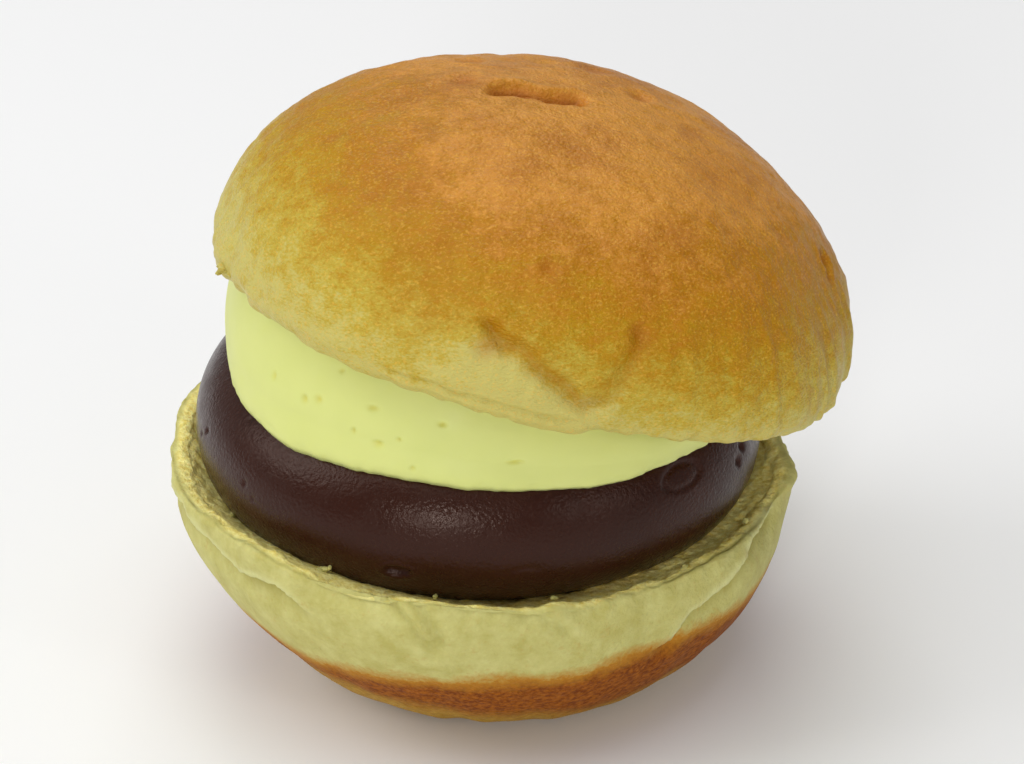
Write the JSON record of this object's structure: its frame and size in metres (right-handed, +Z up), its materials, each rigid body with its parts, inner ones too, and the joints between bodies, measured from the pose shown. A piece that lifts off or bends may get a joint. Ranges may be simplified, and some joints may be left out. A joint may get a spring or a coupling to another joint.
{
  "type": "ice cream sandwich in a bun",
  "caption": "Soft round bun cut in two, holding a thick chocolate disc with a wedge of pale custard cream on it, under a leaning, browned upper half.",
  "frame": {"origin": "middle of the flat spot that the lower half of the bun stands on", "axes": "+Z up; -Y is the side that shows most filling; the upper half leans down towards +X"},
  "size_m": [0.0946, 0.0905, 0.0845],
  "materials": {
    "bottom_bun": "soft pale bun crust, a browned band low on its side, torn crumb at its rim",
    "chocolate": "smooth dark chocolate ice cream with a soft, uneven sheen and a few small pits",
    "custard": "smooth pale yellow custard cream, moist, with a few air holes",
    "top_bun": "thin golden brown crust with a satin sheen, fading to pale yellow at its lower edge"
  },
  "bodies": {
    "root": {"bottom_bun": "bottom_bun", "chocolate_ice_cream": "chocolate", "custard_ice_cream": "custard", "top_bun": "top_bun"}
  },
  "joints": []
}
